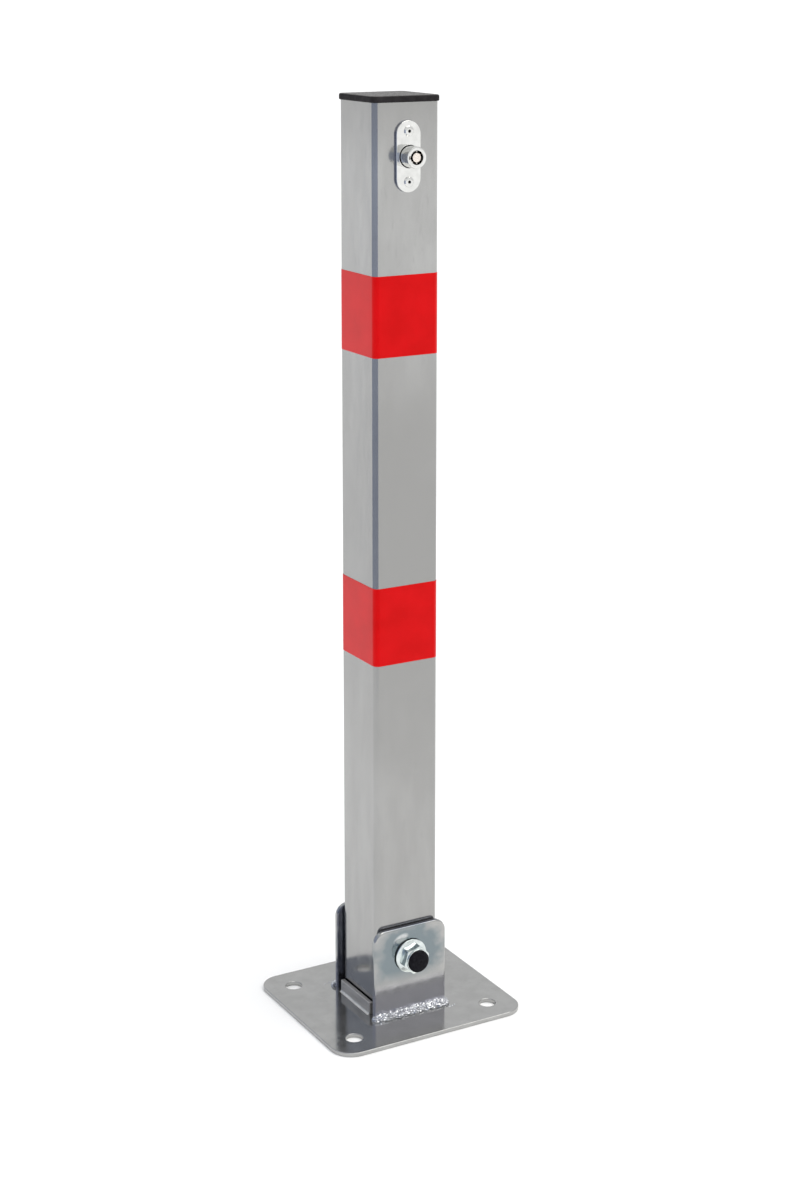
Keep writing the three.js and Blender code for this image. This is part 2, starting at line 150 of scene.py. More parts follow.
def turned_y(shape, profile, x, z, angles=None):
    """A surface turned about a line along Y. The profile is [radius, y] points, or a function of the
    angle."""
    angles = angles or even_angles(72)
    columns = [profile(angle) if callable(profile) else profile for angle in angles]
    rows = []
    for row in range(len(columns[0])):
        ring = []
        for angle, column in zip(angles, columns):
            radius, y = column[row]
            ring.append((x + radius * math.cos(angle), y, z + radius * math.sin(angle)))
        rows.append(ring)
    shape.rings(rows)


def rounded_rectangle(width, height, radius, steps=12):
    """The outline of a centred rectangle with rounded corners, anticlockwise."""
    outline = []
    for quarter, (side_x, side_y) in enumerate(((1, 1), (-1, 1), (-1, -1), (1, -1))):
        for step in range(steps + 1):
            angle = (quarter + step / steps) * math.pi / 2
            outline.append((
                side_x * (width / 2 - radius) + radius * math.cos(angle),
                side_y * (height / 2 - radius) + radius * math.sin(angle),
            ))
    return outline


def circle(x, y, radius, count=64):
    return [(x + radius * math.cos(a), y + radius * math.sin(a)) for a in even_angles(count)]


def edge_profile(low, high, edge, steps=3):
    """[inset, height] points down the side of a slab whose two edges are rounded."""
    quarter = [step / steps * math.pi / 2 for step in range(steps + 1)]
    upper = [(edge * (1 - math.sin(a)), high - edge * (1 - math.cos(a))) for a in quarter]
    lower = [(inset, low + high - height) for inset, height in reversed(upper)]
    return upper + lower


def slab(shape, outline, holes, low, high, edge, place):
    """A plate with rounded edges. The outline is a function of the inset, and each hole of the outset."""
    levels = edge_profile(low, high, edge)
    work = bmesh.new()
    for loop in (outline, *holes):
        rows = [[work.verts.new((u, v, level)) for u, v in loop(inset)] for inset, level in levels]
        for upper, lower in zip(rows, rows[1:]):
            for column in range(len(upper)):
                after = (column + 1) % len(upper)
                work.faces.new((upper[column], upper[after], lower[after], lower[column]))
    for level in (high, low):
        edges = [e for e in work.edges if e.is_boundary and all(abs(v.co.z - level) < 1e-7 for v in e.verts)]
        bmesh.ops.triangle_fill(work, use_beauty=True, use_dissolve=False, edges=edges)
    first = len(shape.points)
    work.verts.index_update()
    shape.points.extend(place(*v.co) for v in work.verts)
    shape.faces.extend(tuple(first + v.index for v in face.verts) for face in work.faces)
    work.free()


def flat(u, v, level):
    return (u, v, level)


def upright(u, v, level):
    return (u, level, v)


def square_rings(shape, profile, corner, closed):
    """Rounded squares stacked up Z, from [half side, z] points. The corner is the radius at the post's
    face."""
    rows = []
    for half, z in profile:
        radius = max(corner + half - tube_high.x, 0.3 * MM)
        rows.append([(x, y, z) for x, y in rounded_rectangle(2 * half, 2 * half, radius)])
    if closed:
        shape.loop_of_rings(rows)
    else:
        shape.rings(rows, capped=True)


# ---------------------------------------------------------------- materials


def noise_field(tree, coordinates, size, detail=4.0, stretch=(1, 1, 1), shift=0.0):
    """Noise whose features are about the given size, in metres."""
    mapping = tree.nodes.new("ShaderNodeMapping")
    mapping.inputs["Scale"].default_value = [1 / (size * s) for s in stretch]
    mapping.inputs["Location"].default_value = (shift, shift * 0.7, shift * 1.3)
    tree.links.new(coordinates, mapping.inputs["Vector"])
    field = tree.nodes.new("ShaderNodeTexNoise")
    field.inputs["Scale"].default_value = 1
    field.inputs["Detail"].default_value = detail
    tree.links.new(mapping.outputs["Vector"], field.inputs["Vector"])
    return field.outputs["Fac"]


def spread(tree, field, low, high, inside=(0.35, 0.65)):
    """Maps the middle of a noise field to a range of values."""
    node = tree.nodes.new("ShaderNodeMapRange")
    node.inputs["From Min"].default_value, node.inputs["From Max"].default_value = inside
    node.inputs["To Min"].default_value, node.inputs["To Max"].default_value = low, high
    tree.links.new(field, node.inputs["Value"])
    return node.outputs["Result"]


def blend_colours(tree, share, low, high):
    """A colour between two others, which may be colours or other nodes' outputs."""
    node = tree.nodes.new("ShaderNodeMix")
    node.data_type = "RGBA"
    tree.links.new(share, node.inputs["Factor"])
    for name, value in (("A", low), ("B", high)):
        target = next(s for s in node.inputs if s.name == name and s.type == "RGBA")
        if isinstance(value, bpy.types.NodeSocket):
            tree.links.new(value, target)
        else:
            target.default_value = (*value, 1)
    return next(s for s in node.outputs if s.type == "RGBA")


def finish(name, tones, patch, rough, metallic, grain, relief, stretch=(1, 1, 1), marks=None, specular=0.5,
           stains_and_painted_light=(), sheen=0.0):
    """A surface whose colour and gloss wander, with fine relief. marks is (colour, size, share) of small wear
    marks, which on the nut's plug are painted glints. Each entry in the list of stains and painted light is
    (colour, function), for dust, painted shade and painted reflections; the function makes that colour's
    share at each point."""
    material = bpy.data.materials.new(name)
    material.use_nodes = True
    tree = material.node_tree
    shader = tree.nodes["Principled BSDF"]
    shader.inputs["Metallic"].default_value = metallic
    shader.inputs["Specular IOR Level"].default_value = specular
    coordinates = tree.nodes.new("ShaderNodeTexCoord").outputs["Object"]
    patches = spread(tree, noise_field(tree, coordinates, patch, 5, stretch), 0, 1)
    colour = blend_colours(tree, patches, *tones)
    if marks:
        mark_colour, mark_size, share = marks
        spots = noise_field(tree, coordinates, mark_size, 6, stretch, shift=11)
        colour = blend_colours(tree, spread(tree, spots, 0, share, (0.6, 0.7)), colour, mark_colour)
    # Dust, painted shade and painted reflections, each blended over the colour.
    for overlay_colour, overlay_share in stains_and_painted_light:
        colour = blend_colours(tree, overlay_share(tree, coordinates), colour, overlay_colour)
    tree.links.new(colour, shader.inputs["Base Color"])
    shader.inputs["Sheen Weight"].default_value = sheen
    shader.inputs["Sheen Roughness"].default_value = 0.36
    gloss = spread(tree, noise_field(tree, coordinates, patch * 0.4, 4, stretch, shift=5), *rough)
    tree.links.new(gloss, shader.inputs["Roughness"])
    bump = tree.nodes.new("ShaderNodeBump")
    bump.inputs["Distance"].default_value = relief
    bump.inputs["Strength"].default_value = 1
    tree.links.new(noise_field(tree, coordinates, grain, 3, stretch, shift=23), bump.inputs["Height"])
    tree.links.new(bump.outputs["Normal"], shader.inputs["Normal"])
    return material


def calculate(tree, operation, *values):
    """A Math node's result. Each value is a number or another node's output."""
    node = tree.nodes.new("ShaderNodeMath")
    node.operation = operation
    for value, socket in zip(values, node.inputs):
        if isinstance(value, bpy.types.NodeSocket):
            tree.links.new(value, socket)
        else:
            socket.default_value = value
    return node.outputs["Value"]


def split(tree, vector):
    """A vector's X, Y and Z, as a node's outputs."""
    parts = tree.nodes.new("ShaderNodeSeparateXYZ")
    tree.links.new(vector, parts.inputs["Vector"])
    return parts


def painted_groove_shade(tree, coordinates):
    """Painted shade on the faces of an ear that look at the post, and on the ledge along its top."""
    parts = split(tree, coordinates)
    depth = calculate(tree, "ABSOLUTE", parts.outputs["Y"])
    inner = spread(tree, depth, 1, 0, (-ear_high.y + 0.5 * MM, -ear_high.y + 1.0 * MM))
    ledge = spread(tree, parts.outputs["Z"], 0, 1, (ear_high.z - 0.5 * MM, ear_high.z - 0.15 * MM))
    uneven = spread(tree, noise_field(tree, coordinates, 3 * MM, 4, shift=31), 0.75, 1)
    return calculate(tree, "MULTIPLY", calculate(tree, "MAXIMUM", inner, ledge), uneven)


def painted_reflection_ring(tree, coordinates):
    """A painted reflection: a bluish, darker ring about the pivot, fading out towards the ear's edges."""
    parts = split(tree, coordinates)
    rise = calculate(tree, "SUBTRACT", parts.outputs["Z"], PIVOT.z)
    aside = calculate(tree, "ADD", parts.outputs["X"], 2 * MM)
    squares = [calculate(tree, "MULTIPLY", value, value) for value in (aside, rise)]
    distance = calculate(tree, "SQRT", calculate(tree, "ADD", *squares))
    wander = spread(tree, noise_field(tree, coordinates, 9 * MM, 3, shift=41), -4 * MM, 4 * MM)
    ring = spread(tree, calculate(tree, "ADD", distance, wander), 1, 0, (21 * MM, 32 * MM))
    above = spread(tree, parts.outputs["Z"], 0, 1, (26 * MM, 36 * MM))
    return calculate(tree, "MULTIPLY", ring, calculate(tree, "MULTIPLY", above, 0.95))


def painted_nut_reflection(tree, coordinates):
    """A painted reflection of the nut: a paler patch on the front ear, above and to the left of the nut."""
    parts = split(tree, coordinates)
    aside = calculate(tree, "ADD", parts.outputs["X"], 7.5 * MM)
    rise = calculate(tree, "SUBTRACT", parts.outputs["Z"], PIVOT.z + 14 * MM)
    slant = calculate(tree, "SUBTRACT", rise, calculate(tree, "MULTIPLY", aside, 0.25))
    wide = calculate(tree, "DIVIDE", aside, 6.5 * MM)
    tall = calculate(tree, "DIVIDE", slant, 3.6 * MM)
    squares = [calculate(tree, "MULTIPLY", value, value) for value in (wide, tall)]
    inside = spread(tree, calculate(tree, "ADD", *squares), 0.9, 0, (0.3, 1.0))
    front = spread(tree, parts.outputs["Y"], 1, 0, (ear_low.y + 0.4 * MM, ear_low.y + 0.8 * MM))
    return calculate(tree, "MULTIPLY", inside, front)


def painted_foot_reflection(tree, coordinates):
    """A painted reflection: a slightly cooler tone at the foot of an ear."""
    parts = split(tree, coordinates)
    return spread(tree, parts.outputs["Z"], 1, 0, (18 * MM, 28 * MM))


def painted_post_shade(tree, coordinates):
    """Painted reflection and shade along the post, as slow changes of tone: darker about its middle, where a
    dim zone is reflected, most of all on the front, and painted shade under the cap."""
    parts = split(tree, coordinates)
    wander = spread(tree, noise_field(tree, coordinates, 70 * MM, 3, shift=61), -30 * MM, 30 * MM)
    height = calculate(tree, "ADD", parts.outputs["Z"], wander)
    below = spread(tree, height, 1, 0, (400 * MM, 550 * MM))
    above = spread(tree, height, 0.42, 1, (150 * MM, 260 * MM))
    front = spread(tree, parts.outputs["Y"], 0.95, 0.6, (-24.5 * MM, -20 * MM))
    middle = calculate(tree, "MULTIPLY", calculate(tree, "MULTIPLY", below, above), front)
    top = spread(tree, parts.outputs["Z"], 0, 0.8, (605 * MM, 645 * MM))
    return calculate(tree, "MAXIMUM", middle, top)


def settled_dust(tree, coordinates):
    """Fine dust and scuffs on the faces that look up."""
    parts = split(tree, tree.nodes.new("ShaderNodeNewGeometry").outputs["Normal"])
    upward = spread(tree, parts.outputs["Z"], 0, 1, (0.75, 0.95))
    uneven = spread(tree, noise_field(tree, coordinates, 3 * MM, 6, shift=51), 0.4, 1)
    return calculate(tree, "MULTIPLY", upward, uneven)


def from_axis(tree, parts, height):
    """The distance from the line along Y at this height."""
    rise = calculate(tree, "SUBTRACT", parts.outputs["Z"], height)
    squares = [calculate(tree, "MULTIPLY", value, value) for value in (parts.outputs["X"], rise)]
    return calculate(tree, "SQRT", calculate(tree, "ADD", *squares))


def painted_flange_shade(tree, coordinates):
    """Painted shade in the undercut between the nut's flange and the ear."""
    parts = split(tree, coordinates)
    return spread(tree, parts.outputs["Y"], 0, 1, (nut_high.y - 1.1 * MM, nut_high.y - 0.95 * MM))


def painted_mouth_shade(tree, coordinates):
    """Painted shade inside the lock's collar, behind its rim."""
    parts = split(tree, coordinates)
    inside = spread(tree, from_axis(tree, parts, LOCK.z), 1, 0, (7.9 * MM, 8.0 * MM))
    behind = spread(tree, parts.outputs["Y"], 0, 1, (housing_low.y + 0.1 * MM, housing_low.y + 0.25 * MM))
    return calculate(tree, "MULTIPLY", inside, behind)


def painted_keyway_shade(tree, coordinates):
    """Painted shade on the walls and floor of the round keyway, behind its front edge."""
    parts = split(tree, coordinates)
    inside = spread(tree, from_axis(tree, parts, LOCK.z), 1, 0, (6.2 * MM, 6.4 * MM))
    front = plunger_low.y
    behind = spread(tree, parts.outputs["Y"], 0, 1, (front + 0.45 * MM, front + 0.65 * MM))
    before = spread(tree, parts.outputs["Y"], 1, 0, (front + 14.2 * MM, front + 14.6 * MM))
    return calculate(tree, "MULTIPLY", inside, calculate(tree, "MULTIPLY", behind, before))


def painted_rim_reflection(tree, coordinates):
    """The rim of the lock's face plate, with a painted reflection that makes it blue-grey and darker than its
    faces.
    """
    parts = split(tree, coordinates)
    behind = spread(tree, parts.outputs["Y"], 0, 1, (LOCK_FACE + 0.2 * MM, LOCK_FACE + 0.5 * MM))
    rise = calculate(tree, "ABSOLUTE", calculate(tree, "SUBTRACT", parts.outputs["Z"], LOCK.z))
    straight = (housing_high.z - housing_low.z) / 2 - housing_high.x
    over = calculate(tree, "MAXIMUM", calculate(tree, "SUBTRACT", rise, straight), 0.0)
    aside = calculate(tree, "ABSOLUTE", parts.outputs["X"])
    squares = [calculate(tree, "MULTIPLY", value, value) for value in (aside, over)]
    distance = calculate(tree, "SQRT", calculate(tree, "ADD", *squares))
    outer = spread(tree, distance, 0, 1, (8.95 * MM, 9.15 * MM))
    return calculate(tree, "MULTIPLY", behind, outer)


PAINT_TONES = ((0.385, 0.384, 0.376), (0.430, 0.429, 0.421))
PAINT_MARKS = ((0.33, 0.33, 0.325), 2.5 * MM, 0.35)
# tone of the painted reflection and shade along the post
POST_SHADE_TONE = (0.320, 0.318, 0.310)
# tone of the painted reflection ring about the pivot
REFLECTION_RING_TONE = (0.208, 0.250, 0.268)
# tone of the painted shade between the ears and the post
GROOVE_SHADE_TONE = (0.090, 0.096, 0.125)
# tone of the painted reflection at the foot of each ear
FOOT_REFLECTION_TONE = (0.450, 0.447, 0.485)
# tone of the painted reflection on the lock plate's rim
RIM_REFLECTION_TONE = (0.400, 0.420, 0.500)
# tone of the painted reflection of the nut on the front ear
NUT_REFLECTION_TONE = (0.620, 0.635, 0.630)
DUST_TONE = (0.088, 0.081, 0.078)
# near-black painted shade in gaps: under the nut's flange, and in the lock's mouth and keyway
GAP_SHADE_TONE = (0.012, 0.011, 0.011)
ZINC_TONES = ((0.60, 0.655, 0.645), (0.76, 0.81, 0.80))
ZINC_MARKS = ((0.50, 0.55, 0.53), 1.0 * MM, 0.5)
CHROME_TONES = ((0.68, 0.68, 0.66), (0.76, 0.76, 0.74))
CHROME_MARKS = ((0.5, 0.5, 0.5), 0.8 * MM, 0.35)
CORE_TONES = ((0.80, 0.72, 0.65), (0.90, 0.83, 0.76))
CORE_MARKS = ((0.55, 0.49, 0.43), 0.7 * MM, 0.4)

silver_paint = finish(
    "silver_paint", PAINT_TONES, 12 * MM, (0.11, 0.16), 0.88, 1.6 * MM, 0.004 * MM,
    stretch=(1, 1, 4), marks=PAINT_MARKS, stains_and_painted_light=((POST_SHADE_TONE, painted_post_shade),))
plate_paint = finish(
    "plate_paint", PAINT_TONES, 12 * MM, (0.11, 0.16), 0.88, 1.6 * MM, 0.004 * MM, marks=PAINT_MARKS)
ear_paint = finish(
    "ear_paint", PAINT_TONES, 12 * MM, (0.09, 0.14), 0.88, 1.6 * MM, 0.004 * MM,
    marks=PAINT_MARKS, stains_and_painted_light=((REFLECTION_RING_TONE, painted_reflection_ring), (NUT_REFLECTION_TONE, painted_nut_reflection), (FOOT_REFLECTION_TONE, painted_foot_reflection),
                              (GROOVE_SHADE_TONE, painted_groove_shade)))
bar_paint = finish(
    "bar_paint", ((0.36, 0.35, 0.34), (0.46, 0.45, 0.435)), 4 * MM, (0.34, 0.44), 0.5, 1.2 * MM, 0.02 * MM,
    stretch=(1, 5, 1), marks=((0.25, 0.24, 0.23), 2 * MM, 0.5))
paint_run = finish(
    "paint_run", ((0.50, 0.50, 0.49), (0.64, 0.64, 0.62)), 3 * MM, (0.26, 0.36), 0.25, 0.8 * MM, 0.02 * MM,
    stretch=(1, 4, 1))
red_film = finish(
    "red_film", ((0.595, 0.002, 0.003), (0.665, 0.003, 0.005)), 20 * MM, (0.14, 0.20), 0, 2.5 * MM,
    0.003 * MM, marks=((0.66, 0.01, 0.01), 2 * MM, 0.3), specular=0.02, sheen=0.9)
black_plastic = finish(
    "black_plastic", ((0.022, 0.020, 0.021), (0.032, 0.029, 0.031)), 5 * MM, (0.20, 0.40), 0, 1.2 * MM,
    0.03 * MM, marks=((0.05, 0.045, 0.042), 1.5 * MM, 0.4), specular=0.02,
    stains_and_painted_light=((DUST_TONE, settled_dust),))
# The plug's light specks are painted glints on the black rubber.
plug_rubber = finish(
    "plug_rubber", ((0.004, 0.004, 0.006), (0.010, 0.010, 0.013)), 2 * MM, (0.30, 0.45), 0, 0.4 * MM,
    0.02 * MM, marks=((0.05, 0.05, 0.055), 0.5 * MM, 0.6), specular=0.06)
zinc = finish(
    "zinc", ZINC_TONES, 3 * MM, (0.10, 0.20), 1, 0.6 * MM, 0.008 * MM, marks=ZINC_MARKS)
nut_zinc = finish(
    "nut_zinc", ZINC_TONES, 3 * MM, (0.10, 0.20), 1, 0.6 * MM, 0.008 * MM, marks=ZINC_MARKS,
    stains_and_painted_light=((GAP_SHADE_TONE, painted_flange_shade),))
lock_chrome = finish(
    "lock_chrome", CHROME_TONES, 4 * MM, (0.06, 0.12), 1, 0.8 * MM, 0.002 * MM, marks=CHROME_MARKS)
plunger_chrome = finish(
    "plunger_chrome", CHROME_TONES, 4 * MM, (0.06, 0.12), 1, 0.8 * MM, 0.002 * MM, marks=CHROME_MARKS,
    stains_and_painted_light=((GAP_SHADE_TONE, painted_keyway_shade),))
plate_chrome = finish(
    "plate_chrome", CHROME_TONES, 4 * MM, (0.06, 0.12), 1, 0.8 * MM, 0.002 * MM, marks=CHROME_MARKS,
    stains_and_painted_light=((RIM_REFLECTION_TONE, painted_rim_reflection), (GAP_SHADE_TONE, painted_mouth_shade)))
weld_metal = finish(
    "weld_metal", ((0.33, 0.34, 0.365), (0.71, 0.72, 0.74)), 1.0 * MM, (0.12, 0.26), 0.85, 0.5 * MM,
    0.08 * MM, stretch=(2.2, 1, 1), marks=((0.22, 0.21, 0.22), 0.7 * MM, 0.75))
inner_steel = finish(
    "inner_steel", ((0.28, 0.28, 0.29), (0.40, 0.40, 0.41)), 6 * MM, (0.30, 0.45), 1, 0.5 * MM, 0.01 * MM,
    stretch=(1, 1, 4), marks=((0.16, 0.13, 0.11), 2 * MM, 0.6))
spring_steel = finish(
    "spring_steel", ((0.33, 0.34, 0.36), (0.44, 0.45, 0.47)), 1.5 * MM, (0.22, 0.34), 1, 0.2 * MM, 0.004 * MM)
nylon = finish(
    "nylon", ((0.76, 0.74, 0.68), (0.82, 0.80, 0.75)), 3 * MM, (0.42, 0.55), 0, 0.3 * MM, 0.006 * MM)
key_metal = finish(
    "key_metal", CORE_TONES, 1.5 * MM, (0.20, 0.32), 0.6, 0.3 * MM, 0.006 * MM, marks=CORE_MARKS)
core_metal = finish(
    "core_metal", CORE_TONES, 1.5 * MM, (0.20, 0.32), 0.6, 0.3 * MM, 0.006 * MM, marks=CORE_MARKS,
    stains_and_painted_light=((GAP_SHADE_TONE, painted_keyway_shade),))
# The sunk rivet mandrels are near-black: painted shade in the rivets' hollows.
mandrel_painted_shade = finish(
    "mandrel_painted_shade", ((0.004, 0.004, 0.004), (0.012, 0.011, 0.010)), 1 * MM, (0.45, 0.6), 0, 0.3 * MM,
    0.01 * MM, specular=0.2)


def even_shading(piece):
    """Smooth across shallow edges and flat across wide faces."""
    weighted = piece.modifiers.new("even_shading", "WEIGHTED_NORMAL")
    weighted.keep_sharp = True
    weighted.weight = 80


def add(name, shape, material, body, replaced=()):
    """Makes a piece from a shape, in its body, in place of the CAD nodes that it stands for."""
    piece = shape.object(name)
    piece.data.materials.append(material)
    piece.data.shade_smooth()
    piece.data.set_sharp_from_angle(angle=math.radians(42))
    even_shading(piece)
    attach(piece, body)
    if replaced:
        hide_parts(*replaced)
    return piece


def smooth_by_angle():
    """A modifier's node group that smooths faces and keeps edges over 35 degrees sharp."""
    group = bpy.data.node_groups.new("smooth_by_angle", "GeometryNodeTree")
    group.interface.new_socket("Geometry", in_out="INPUT", socket_type="NodeSocketGeometry")
    group.interface.new_socket("Geometry", in_out="OUTPUT", socket_type="NodeSocketGeometry")
    start = group.nodes.new("NodeGroupInput")
    end = group.nodes.new("NodeGroupOutput")
    angle = group.nodes.new("GeometryNodeInputMeshEdgeAngle")
    shallow = group.nodes.new("FunctionNodeCompare")
    shallow.operation = "LESS_THAN"
    shallow.inputs["B"].default_value = math.radians(35)
    edges = group.nodes.new("GeometryNodeSetShadeSmooth")
    edges.domain = "EDGE"
    faces = group.nodes.new("GeometryNodeSetShadeSmooth")
    faces.domain = "FACE"
    group.links.new(start.outputs["Geometry"], edges.inputs["Geometry"])
    group.links.new(angle.outputs["Unsigned Angle"], shallow.inputs["A"])
    group.links.new(shallow.outputs["Result"], edges.inputs["Shade Smooth"])
    group.links.new(edges.outputs["Geometry"], faces.inputs["Geometry"])
    group.links.new(faces.outputs["Geometry"], end.inputs["Geometry"])
    return group


smoothing = smooth_by_angle()


def keep_cad(name, material, edge=0.0):
    """Shows a CAD node as it is, with a better material, smooth round faces and rounded edges."""
    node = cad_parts[name]
    node.data.materials.clear()
    node.data.materials.append(material)
    if edge:
        bevel = node.modifiers.new("edges", "BEVEL")
        bevel.width = edge
        bevel.segments = 2
        bevel.limit_method = "ANGLE"
        bevel.angle_limit = math.radians(40)
    modifier = node.modifiers.new("smoothing", "NODES")
    modifier.node_group = smoothing
    even_shading(node)


# ---------------------------------------------------------------- base


def base_plate():
    size = plate_high - plate_low
    shape = Shape()
    holes = [
        lambda outset, x=side_x * ANCHOR_PITCH.x / 2, y=side_y * ANCHOR_PITCH.y / 2:
            circle(x, y, ANCHOR_RADIUS + outset)
        for side_x in (-1, 1) for side_y in (-1, 1)
    ]
    slab(
        shape,
        lambda inset: rounded_rectangle(size.x - 2 * inset, size.y - 2 * inset, PLATE_CORNER - inset, 24),
        holes, plate_low.z, plate_high.z, 0.5 * MM, flat)
    add("base_plate_painted", shape, plate_paint, "base", ["base_plate"])


def ear_outline(inset, steps=14):
    """An ear seen from the front: square at the foot, rounded at the two top corners."""
    half, foot, top, radius = ear_high.x - inset, ear_low.z, ear_high.z - inset, EAR_CORNER - inset
    outline = [(-half, foot), (half, foot)]
    for side, start in ((1, 0), (-1, math.pi / 2)):
        for step in range(steps + 1):
            angle = start + step / steps * math.pi / 2
            outline.append((
                side * (half - radius) + radius * math.cos(angle),
                top - radius + radius * math.sin(angle),
            ))
    return outline


def hinge_ear(name, node):
    low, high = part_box(node)
    shape = Shape()

    def bolt_hole(outset):
        return circle(0, PIVOT.z, EAR_HOLE + outset)

    slab(shape, ear_outline, [bolt_hole], low.y, high.y, 1.2 * MM, upright)
    add(name, shape, ear_paint, "base", [node])


def stop_bar(name, node, side):
    """A flat bar with eased edges, and the hollow run of paint and weld along its outer foot."""
    low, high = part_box(node)
    shape = Shape()
    middle = (low.x + high.x) / 2
    thickness, length, corner = high.x - low.x, high.y - low.y, 0.6 * MM

    def outline_at(inset):
        outline = rounded_rectangle(thickness - 2 * inset, length - 2 * inset, corner, 4)
        return [(middle + u, v) for u, v in outline]

    slab(shape, outline_at, [], low.z, high.z, 0.5 * MM, flat)
    add(name, shape, bar_paint, "base", [node])
    reach, overlap, steps = 1.4 * MM, 0.3 * MM, 6
    wall = high.x if side > 0 else low.x
    hollow = [(1 - math.sin(step / steps * math.pi / 2), 1 - math.cos(step / steps * math.pi / 2))
              for step in range(steps + 1)]
    rows = []
    for step in range(37):
        y = low.y + 0.4 * MM + (high.y - low.y - 0.8 * MM) * step / 36
        size = reach * (1 + 0.12 * noise.noise((y * 150, side, 2)))
        buried = wall - side * overlap
        outline = [(buried, plate_high.z - 0.02 * MM), (buried, plate_high.z + size)]
        outline += [(wall + side * size * out, plate_high.z + size * up) for out, up in reversed(hollow)]
        rows.append([(x, y, z) for x, z in outline])
    fillet = Shape()
    fillet.rings(rows, capped=True)
    add(name + "_foot", fillet, paint_run, "base")


def weld_bead(name, node, side, seed):
    """A hand-laid fillet: overlapping ripples, uneven height, blunt ends, and a few drops of spatter."""
    low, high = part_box(node)
    half_length = (high.x - low.x) / 2
    foot = plate_high.z
    wall = side * abs(high.y if side < 0 else low.y)
    width, height = high.y - low.y, high.z - low.z
    ripple_pitch = 2.3 * MM
    stations = 320
    around = 18
    rows = []
    for station in range(stations + 1):
        along = station / stations * 2 - 1
        x = along * half_length
        taper = math.sqrt(max(1 - abs(along) ** 14, 0.0004))
        lump = 1 + 0.22 * noise.noise((x * 160, seed, 0)) + 0.14 * noise.noise((x * 480, seed, 4))
        ring = [(x, wall - side * 0.6 * MM, foot - 0.1 * MM)]
        for step in range(around + 1):
            angle = step / around * math.pi / 2
            phase = x / ripple_pitch + 0.55 * math.sin(2 * angle) + 0.5 * noise.noise((x * 210, seed, 9))
            rough = noise.noise((x * 330, angle * 4, seed)) + 0.5 * noise.noise((x * 900, angle * 7, seed))
            ripple = 0.05 * abs(math.sin(math.pi * phase)) + 0.16 * rough
            valley = 0.15 * math.exp(-((angle - 0.95) / 0.24) ** 2)
            bulge = taper * (lump * (0.86 + 0.07 * math.sin(2 * angle) - valley) + ripple)
            out, up = width * bulge * math.cos(angle), height * bulge * math.sin(angle)
            ring.append((x, wall + side * out, foot + up))
        rows.append(ring)
    shape = Shape()
    shape.rings(rows, capped=True)
    chance = random.Random(seed)
    for end in (-1, 1):
        for _ in range(7):
            x = end * (half_length + chance.uniform(-4.5, 2.0) * MM)
            y = wall + side * (width + chance.uniform(0.2, 2.6) * MM)
            radius = chance.uniform(0.25, 0.75) * MM
            drop(shape, x, y, foot, radius)
    drop(shape, -8.5 * MM, wall + side * (width + 0.6 * MM), foot, 0.7 * MM)
    add(name, shape, weld_metal, "base", [node])


def drop(shape, x, y, z, radius, squash=0.7):
    """A small dome on the plate."""
    rows = []
    for step in range(5):
        angle = step / 4 * math.pi / 2
        rows.append([(x + radius * math.cos(angle) * math.cos(a), y + radius * math.cos(angle) * math.sin(a),
                      z - 0.05 * MM + radius * squash * math.sin(angle)) for a in even_angles(12)])
    shape.rings(rows, capped=True)


# ---------------------------------------------------------------- pivot


def hexagon(shape, across, near, far, inner, x, z, offset, corner_cut=0.25 * MM):
    """A hexagonal bar along Y, from its chamfered outer end at near to its plain end at far."""
    half = across / 2
    corner = half / math.cos(math.pi / 6)
    direction = 1 if far > near else -1
    slope = math.tan(math.radians(30))

    def profile(angle):
        from_middle = (angle - offset + math.pi / 6) % (math.pi / 3) - math.pi / 6
        radius = min(half / math.cos(from_middle), corner - corner_cut)
        drop_back = (radius - half * 0.97) * slope
        shoulder = near + direction * drop_back
        return [(inner, near), (half * 0.97, near), (radius, shoulder), (radius, far), (inner, far)]

    turned_y(shape, profile, x, z, even_angles(120))


def pivot_nut():
    """A flange nut: skirt, hexagon and round collar."""
    seat = nut_high.y
    end = nut_low.y
    hex_end, flange, collar, bore = 10 * MM, 2.6 * MM, 8.6 * MM, 6.2 * MM
    radius = nut_high.z - PIVOT.z
    shape = Shape()
    skirt = [(bore, seat - flange), (9.2 * MM, seat - flange), (radius - 0.4 * MM, seat - 1.85 * MM),
             (radius, seat - 1.6 * MM), (radius, seat - 1.1 * MM), (radius - 1.8 * MM, seat - 1.0 * MM),
             (radius - 2.3 * MM, seat), (bore, seat)]
    turned_y(shape, softened(skirt, 0.3 * MM), 0, PIVOT.z)
    hexagon(shape, ACROSS_FLATS, seat - hex_end, seat - flange * 0.6, bore, 0, PIVOT.z, math.radians(45))
    collar_back = seat - hex_end + 0.5 * MM
    ring = [(bore, end), (collar, end), (collar, collar_back), (bore, collar_back)]
    turned_y(shape, softened(ring, 0.35 * MM), 0, PIVOT.z)
    add("pivot_nut_zinc", shape, nut_zinc, "base", ["pivot_nut"])


def nut_plug():
    low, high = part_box("pivot_nut_plug")
    radius = high.z - PIVOT.z
    face, stem = nut_low.y, 5.8 * MM
    profile = [(0, low.y + 0.25 * MM), (0.5 * MM, low.y + 0.25 * MM), (0.7 * MM, low.y),
               (radius * 0.45, low.y + 0.15 * MM), (radius * 0.8, low.y + 0.5 * MM),
               (radius, low.y + 1.3 * MM), (radius, face), (stem, face), (stem, high.y), (0, high.y)]
    shape = Shape()
    turned_y(shape, softened(profile, 0.5 * MM), 0, PIVOT.z)
    add("nut_plug_black", shape, plug_rubber, "base", ["pivot_nut_plug"])


